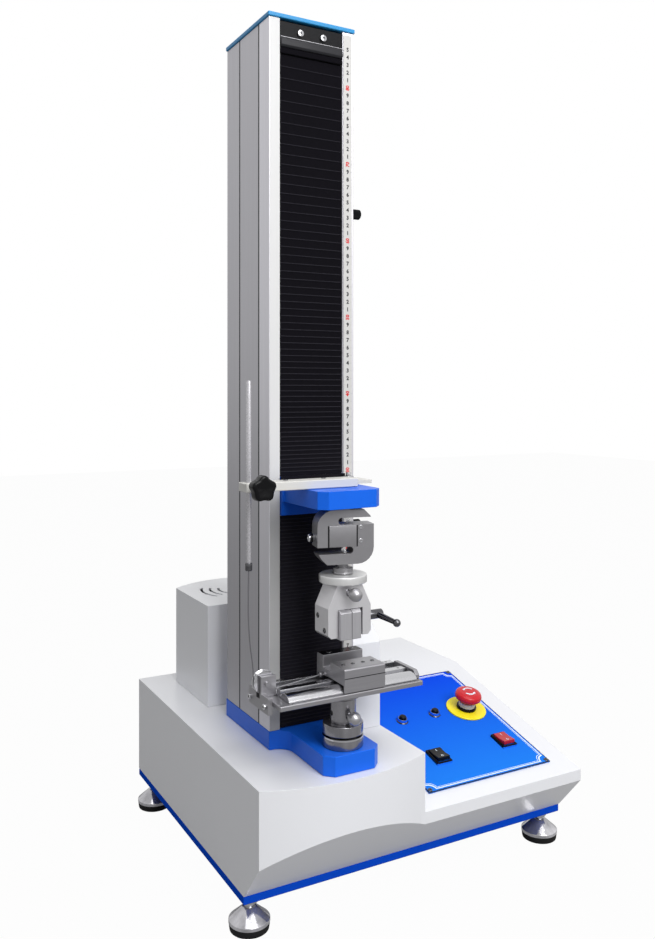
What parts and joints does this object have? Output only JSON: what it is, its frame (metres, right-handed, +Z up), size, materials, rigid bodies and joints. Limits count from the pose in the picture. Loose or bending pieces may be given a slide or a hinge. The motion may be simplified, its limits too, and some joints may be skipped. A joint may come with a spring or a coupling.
{
  "type": "tensile tester",
  "caption": "Bench tensile tester: column with bellows and moving crosshead, load cell and grips over a peel fixture, on a base with a sloping control console.",
  "frame": {"origin": "on the floor under the middle of the machine, at the bottom of the four levelling feet", "axes": "+Z up along the column, +X to the operator's right, towards the control console, -Y towards the operator"},
  "size_m": [0.5053, 0.4754, 1.116],
  "materials": {
    "housing_white": "satin",
    "base_blue": "satin",
    "arm_blue": "satin",
    "panel_blue": "satin",
    "foot_chrome": "polished",
    "column_aluminium": "satin",
    "drive_aluminium": "satin",
    "bar_silver": "satin",
    "cell_nickel": "satin",
    "satin_steel": "satin",
    "plain_steel": "satin",
    "chrome": "polished",
    "wire_steel": "satin",
    "bellows_cloth": "matte",
    "black_plastic": "satin",
    "gloss_black": "gloss",
    "red_plastic": "gloss",
    "yellow_plastic": "satin",
    "rubber": "matte",
    "rule_white": "satin",
    "motor_black": "satin"
  },
  "bodies": {
    "frame": {"base_housing": "housing_white", "motor_cover": "housing_white", "base_plate": "base_blue", "control_panel": "panel_blue", "foot_front_left": "foot_chrome", "foot_front_right": "foot_chrome", "foot_rear_left": "foot_chrome", "foot_rear_right": "foot_chrome", "power_inlet": "black_plastic", "column_base": "arm_blue", "column_profile": "column_aluminium", "column_cap": "arm_blue", "scale_rule": "rule_white", "upper_bellows": "bellows_cloth", "lower_bellows": "bellows_cloth", "bellows_clamp": "black_plastic", "screw_bearing_bottom": "plain_steel", "screw_bearing_top": "plain_steel", "guide_rod_left": "chrome", "guide_rod_right": "chrome", "drive_belt": "rubber", "motor": "motor_black", "lower_socket": "satin_steel", "fixture_stem": "satin_steel", "fixture_plate": "satin_steel", "guide_rail": "chrome", "end_plate": "plain_steel", "pulley_fork": "plain_steel", "estop_collar": "yellow_plastic"},
    "crosshead": {"carriage": "drive_aluminium", "crosshead_arm": "arm_blue", "extension_bar": "bar_silver", "scale_pointer": "bar_silver", "pull_wire_drop": "wire_steel", "load_cell": "cell_nickel", "grip_body": "satin_steel", "fixed_jaw": "plain_steel"},
    "drive_screw": {"ball_screw": "chrome", "screw_pulley": "drive_aluminium"},
    "motor_rotor": {"motor_pulley": "drive_aluminium"},
    "pull_rod": {"pull_rod": "chrome"},
    "star_knob": {"star_knob": "gloss_black"},
    "upper_lock_ring": {"upper_lock_ring": "satin_steel"},
    "grip_pin": {"grip_pin": "chrome"},
    "moving_jaw": {"moving_jaw": "plain_steel"},
    "clamp_lever": {"clamp_lever": "chrome"},
    "slider": {"slider": "plain_steel", "pull_wire_run": "wire_steel"},
    "wire_pulley": {"wire_pulley": "chrome"},
    "lower_lock_ring": {"lower_lock_ring": "chrome"},
    "fixture_pin": {"fixture_pin": "chrome"},
    "upper_stop": {"upper_stop": "black_plastic"},
    "lower_stop": {"lower_stop": "black_plastic"},
    "start_button": {"start_button": "gloss_black"},
    "stop_button": {"stop_button": "gloss_black"},
    "power_rocker": {"power_rocker": "gloss_black"},
    "light_rocker": {"light_rocker": "red_plastic"},
    "estop_button": {"estop_button": "red_plastic"}
  },
  "joints": [
    {"name": "crosshead_travel", "type": "slide", "parent": "frame", "child": "crosshead", "axis": [0, 0, 1], "range_m": [0, 0.34], "deforming": ["upper_bellows", "lower_bellows", "pull_wire_drop"]},
    {"name": "screw_spin", "type": "hinge", "parent": "frame", "child": "drive_screw", "pos_m": [-0.1243, -0.045, 0.1], "axis": [0, 0, 1], "continuous": true},
    {"name": "motor_spin", "type": "hinge", "parent": "frame", "child": "motor_rotor", "pos_m": [-0.106, 0.1496, 0.1], "axis": [0, 0, 1], "continuous": true},
    {"name": "rod_slide", "type": "slide", "parent": "crosshead", "child": "pull_rod", "axis": [0, 0, 1], "range_m": [-0.06, 0.08]},
    {"name": "knob_spin", "type": "hinge", "parent": "crosshead", "child": "star_knob", "pos_m": [-0.2385, -0.195, 0.52855], "axis": [0, 1, 0], "range_deg": [-720, 0]},
    {"name": "upper_ring_spin", "type": "hinge", "parent": "crosshead", "child": "upper_lock_ring", "pos_m": [-0.1243, -0.1936, 0.4162], "axis": [0, 0, 1], "range_deg": [-360, 360]},
    {"name": "grip_pin_slide", "type": "slide", "parent": "crosshead", "child": "grip_pin", "axis": [0, -1, 0], "range_m": [0, 0.05]},
    {"name": "lever_spin", "type": "hinge", "parent": "crosshead", "child": "clamp_lever", "pos_m": [-0.085, -0.1936, 0.3664], "axis": [1, 0, 0], "range_deg": [0, 1080]},
    {"name": "jaw_slide", "type": "slide", "parent": "crosshead", "child": "moving_jaw", "axis": [1, 0, 0], "range_m": [0, 0.0045]},
    {"name": "slider_travel", "type": "slide", "parent": "frame", "child": "slider", "axis": [1, 0, 0], "range_m": [-0.058, 0.045], "deforming": ["pull_wire_run"]},
    {"name": "wire_pulley_spin", "type": "hinge", "parent": "frame", "child": "wire_pulley", "pos_m": [-0.2235, -0.18, 0.302], "axis": [0, 1, 0], "continuous": true},
    {"name": "lower_ring_spin", "type": "hinge", "parent": "frame", "child": "lower_lock_ring", "pos_m": [-0.1243, -0.1936, 0.237], "axis": [0, 0, 1], "range_deg": [-360, 360]},
    {"name": "fixture_pin_slide", "type": "slide", "parent": "frame", "child": "fixture_pin", "axis": [0, -1, 0], "range_m": [0, 0.05]},
    {"name": "upper_stop_slide", "type": "slide", "parent": "frame", "child": "upper_stop", "axis": [0, 0, 1], "range_m": [-0.28, 0.17]},
    {"name": "lower_stop_slide", "type": "slide", "parent": "frame", "child": "lower_stop", "axis": [0, 0, 1], "range_m": [-0.1, 0.08]},
    {"name": "start_press", "type": "slide", "parent": "frame", "child": "start_button", "axis": [0, 0.2521, -0.9677], "range_m": [0, 0.0025], "stiffness_N_per_m": 150},
    {"name": "stop_press", "type": "slide", "parent": "frame", "child": "stop_button", "axis": [0, 0.2521, -0.9677], "range_m": [0, 0.0025], "stiffness_N_per_m": 150},
    {"name": "power_rocker_tilt", "type": "hinge", "parent": "frame", "child": "power_rocker", "pos_m": [0.0616, -0.13371, 0.14472], "axis": [1, 0, 0], "range_deg": [0, 16]},
    {"name": "light_rocker_tilt", "type": "hinge", "parent": "frame", "child": "light_rocker", "pos_m": [0.176, -0.13262, 0.145], "axis": [1, 0, 0], "range_deg": [0, 16]},
    {"name": "estop_press", "type": "slide", "parent": "frame", "child": "estop_button", "axis": [0, 0.2521, -0.9677], "range_m": [0, 0.004]}
  ],
  "couplings": [
    {"joint": "screw_spin", "follows": "crosshead_travel", "rad_per_m": -628.32},
    {"joint": "motor_spin", "follows": "crosshead_travel", "rad_per_m": -1256.6},
    {"joint": "lever_spin", "follows": "jaw_slide", "rad_per_m": 4188},
    {"joint": "wire_pulley_spin", "follows": "slider_travel", "rad_per_m": -81.63}
  ]
}
